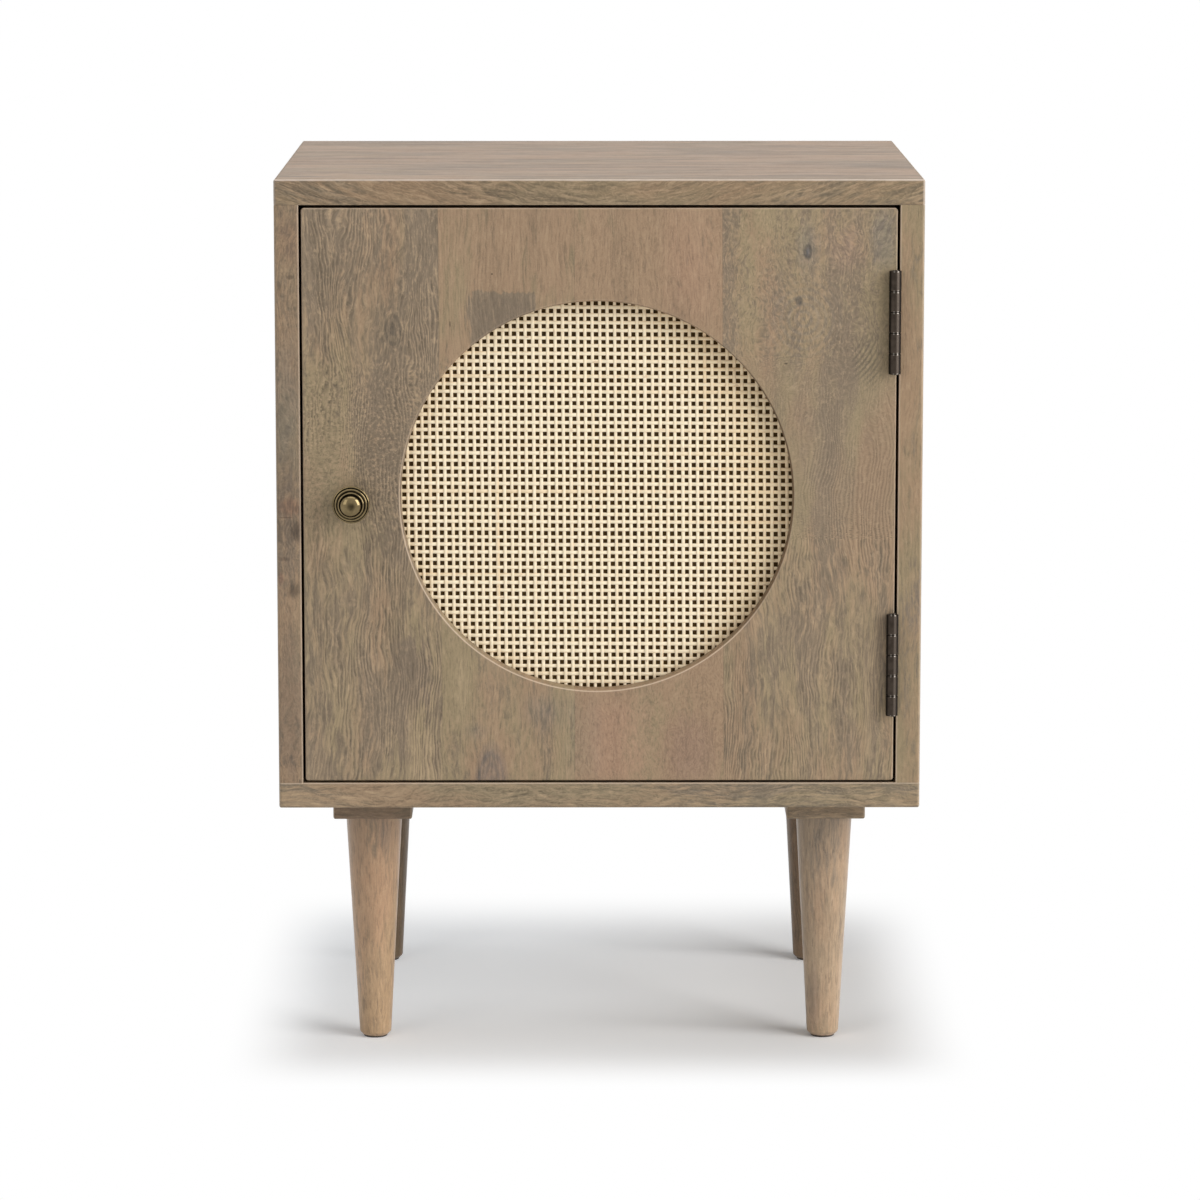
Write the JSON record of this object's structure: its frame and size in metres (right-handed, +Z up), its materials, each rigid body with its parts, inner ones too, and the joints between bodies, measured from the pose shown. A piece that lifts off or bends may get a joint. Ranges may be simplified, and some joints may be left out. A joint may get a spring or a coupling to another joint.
{
  "type": "bedside pot cupboard",
  "caption": "Bedside pot cupboard on turned tapered legs, with an inset hinged door whose round opening is filled with woven cane.",
  "frame": {"origin": "on the floor, in the middle of the whole cupboard's width and depth, knob included", "axes": "+Z up, +Y towards the back, the door faces -Y, +X to the right of someone facing the door"},
  "size_m": [0.45, 0.402, 0.622],
  "materials": {
    "mango_cabinet": "greige wash, satin lacquer, fine horizontal grain",
    "mango_door": "greige wash, satin lacquer, upright staves",
    "mango_legs": "lighter warm wood, satin lacquer",
    "plywood_back": "thin plywood, stained to match",
    "beech_dowel": "plain turned dowel",
    "woven_cane": "natural cream cane, open square weave",
    "dark_backing": "thin board, stained dark brown, matt",
    "antique_brass": "aged brass, dark in the grooves",
    "bronzed_steel": "dark bronze plating, satin",
    "zinc_fixings": "zinc plated",
    "brown_plastic": "moulded brown plastic",
    "black_magnet": "dark pressed magnet",
    "dark_glide": "dark plastic glide"
  },
  "bodies": {
    "cabinet": {"top_panel": "mango_cabinet", "bottom_panel": "mango_cabinet", "left_side_panel": "mango_cabinet", "right_side_panel": "mango_cabinet", "back_panel": "plywood_back", "back_panel_screws": "zinc_fixings", "carcass_dowels": "beech_dowel", "shelf": "mango_cabinet", "shelf_pins": "zinc_fixings", "front_left_leg_block": "mango_cabinet", "front_right_leg_block": "mango_cabinet", "rear_left_leg_block": "mango_cabinet", "rear_right_leg_block": "mango_cabinet", "leg_block_screws": "zinc_fixings", "front_left_leg": "mango_legs", "front_right_leg": "mango_legs", "rear_left_leg": "mango_legs", "rear_right_leg": "mango_legs", "leg_bolts": "zinc_fixings", "leg_tee_nuts": "zinc_fixings", "leg_glides": "dark_glide", "upper_hinge_frame_leaf": "bronzed_steel", "lower_hinge_frame_leaf": "bronzed_steel", "upper_hinge_pin": "bronzed_steel", "lower_hinge_pin": "bronzed_steel", "frame_hinge_screws": "bronzed_steel", "catch_case": "brown_plastic", "catch_magnet": "black_magnet", "catch_screws": "zinc_fixings"},
    "door": {"door_panel": "mango_door", "cane_panel": "woven_cane", "cane_backing": "dark_backing", "upper_cane_batten": "mango_door", "lower_cane_batten": "mango_door", "left_cane_batten": "mango_door", "right_cane_batten": "mango_door", "cane_batten_screws": "zinc_fixings", "door_knob": "antique_brass", "knob_bolt": "zinc_fixings", "upper_hinge_door_leaf": "bronzed_steel", "lower_hinge_door_leaf": "bronzed_steel", "door_hinge_screws": "bronzed_steel", "strike_plate": "zinc_fixings", "strike_plate_screws": "zinc_fixings"}
  },
  "joints": [
    {"name": "door_hinge", "type": "hinge", "parent": "cabinet", "child": "door", "pos_m": [0.2046, -0.1836, 0.4008], "axis": [0, 0, 1], "range_deg": [0, 180]}
  ]
}
